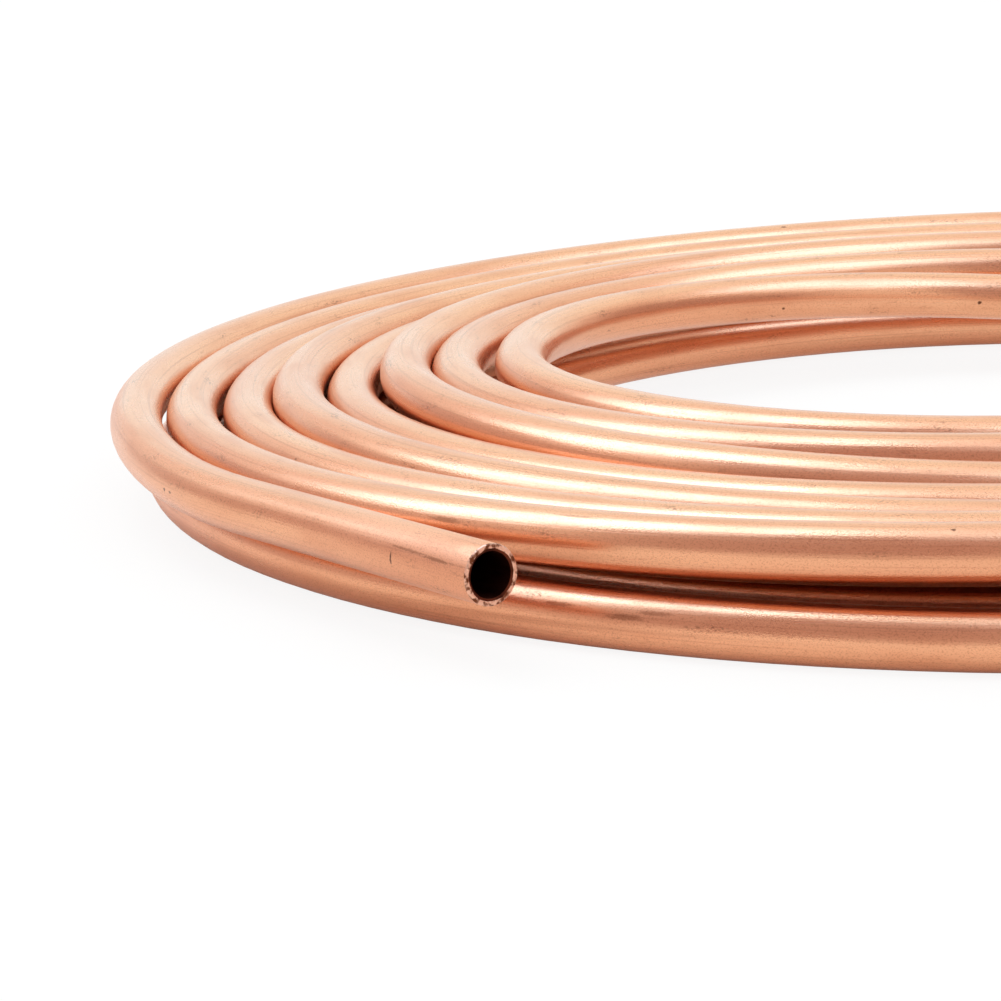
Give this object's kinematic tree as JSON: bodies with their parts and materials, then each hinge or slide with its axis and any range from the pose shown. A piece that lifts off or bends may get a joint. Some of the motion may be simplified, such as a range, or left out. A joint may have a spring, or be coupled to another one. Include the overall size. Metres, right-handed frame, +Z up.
{
  "type": "copper tube coil",
  "caption": "Soft copper refrigeration tube wound flat in two layers of turns, with an open eye and two square-cut open ends that take tube fittings.",
  "frame": {"origin": "on the floor, under the middle of the coil's bounding box", "axes": "+Z up out of the flat coil; the turns run behind and in front of the X axis, and the open end is at the front left (-X, -Y)"},
  "size_m": [0.2472, 0.238, 0.0171],
  "materials": {
    "copper": "satin, drawn and annealed copper"
  },
  "bodies": {
    "root": {"coiled_tube": "copper"}
  },
  "joints": []
}
